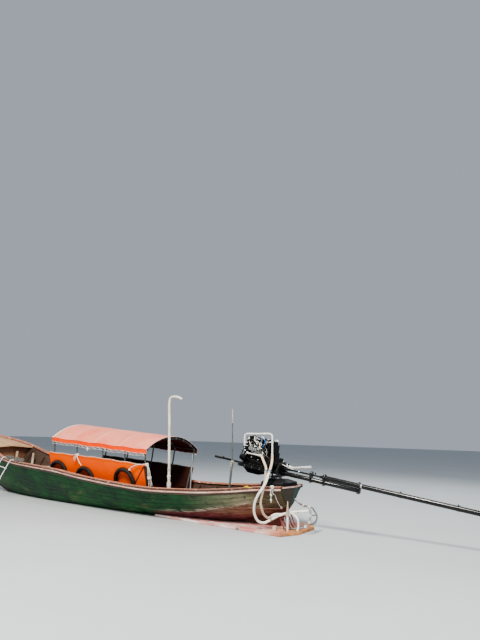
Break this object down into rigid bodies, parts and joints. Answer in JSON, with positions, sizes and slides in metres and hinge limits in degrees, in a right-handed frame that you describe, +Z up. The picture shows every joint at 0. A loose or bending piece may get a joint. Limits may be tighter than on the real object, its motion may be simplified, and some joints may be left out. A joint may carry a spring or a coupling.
{
  "type": "longtail boat",
  "caption": "Wooden open longtail boat with a canopy amidships, a squat board at the stern and a tilting engine that steers and drives a long propeller shaft.",
  "frame": {"origin": "on the centreline at the waterline, amidships, 5.2 m forward of the aft edge of the squat board", "axes": "+X towards the bow, +Y to port, +Z up"},
  "size_m": [16.3825, 2.5151, 3.17],
  "materials": {
    "planking_paint": "satin",
    "bare_wood": "worn",
    "rail_wood": "satin",
    "strake_paint": "satin",
    "dark_wood": "matte",
    "bottom_paint": "matte",
    "bed_wood": "satin",
    "engine_black": "satin",
    "grey_metal": "satin",
    "white_paint": "gloss",
    "orange_sheet": "matte",
    "canopy_cloth": "matte",
    "tyre_rubber": "matte",
    "hose_rubber": "satin",
    "bronze": "worn"
  },
  "bodies": {
    "hull": {"planking_port": "planking_paint", "planking_starboard": "planking_paint", "gunwale_port": "rail_wood", "gunwale_starboard": "rail_wood", "rub_strake_port": "strake_paint", "rub_strake_starboard": "strake_paint", "transom": "bare_wood", "keel": "bottom_paint", "stem_post": "rail_wood", "ribs": "dark_wood", "floorboards": "dark_wood", "stern_deck": "bare_wood", "bow_platform": "bare_wood", "foredeck": "bare_wood", "fore_bulkhead": "dark_wood", "helm_bench": "bare_wood", "bench_1": "bare_wood", "bench_2": "bare_wood", "bench_3": "bare_wood", "squat_board": "strake_paint", "side_panel_port": "orange_sheet", "side_panel_starboard": "orange_sheet", "canopy_cover": "canopy_cloth", "canopy_frame": "grey_metal", "tyre_1": "tyre_rubber", "tyre_2": "tyre_rubber", "tyre_3": "tyre_rubber", "gooseneck_pole": "white_paint", "thin_post": "grey_metal", "stern_pole": "bare_wood", "ladder": "white_paint", "engine_bed": "bed_wood", "stern_guard": "grey_metal", "white_post": "white_paint", "swivel_base": "grey_metal", "water_pipe": "white_paint", "hose_lower_a": "hose_rubber", "hose_lower_b": "hose_rubber"},
    "swivel": {"swivel_yoke": "grey_metal", "hose_clip": "grey_metal"},
    "engine": {"engine_frame": "engine_black", "bell_housing": "engine_black", "engine_block": "engine_black", "oil_pan": "engine_black", "cylinder_head": "grey_metal", "front_pulleys": "grey_metal", "exhaust": "grey_metal", "tiller": "engine_black", "shaft_tube": "engine_black", "support_tube": "engine_black", "coolant_pipe": "white_paint", "side_pipe": "white_paint", "hose_upper_a": "hose_rubber", "hose_upper_b": "hose_rubber"},
    "propeller": {"propeller": "bronze"}
  },
  "joints": [
    {"name": "steering", "type": "hinge", "parent": "hull", "child": "swivel", "pos_m": [-4.745, 0, 0.935], "axis": [0, 0, 1], "range_deg": [-40, 40], "deforming": ["hose_lower_a", "hose_lower_b"]},
    {"name": "engine_tilt", "type": "hinge", "parent": "swivel", "child": "engine", "pos_m": [-4.745, 0, 1.045], "axis": [0, 1, 0], "range_deg": [-10, 15], "deforming": ["hose_upper_a", "hose_upper_b"]},
    {"name": "propeller_spin", "type": "hinge", "parent": "engine", "child": "propeller", "pos_m": [-9.568, 0, 0.443], "axis": [0.9903, 0, 0.1392], "continuous": true}
  ]
}
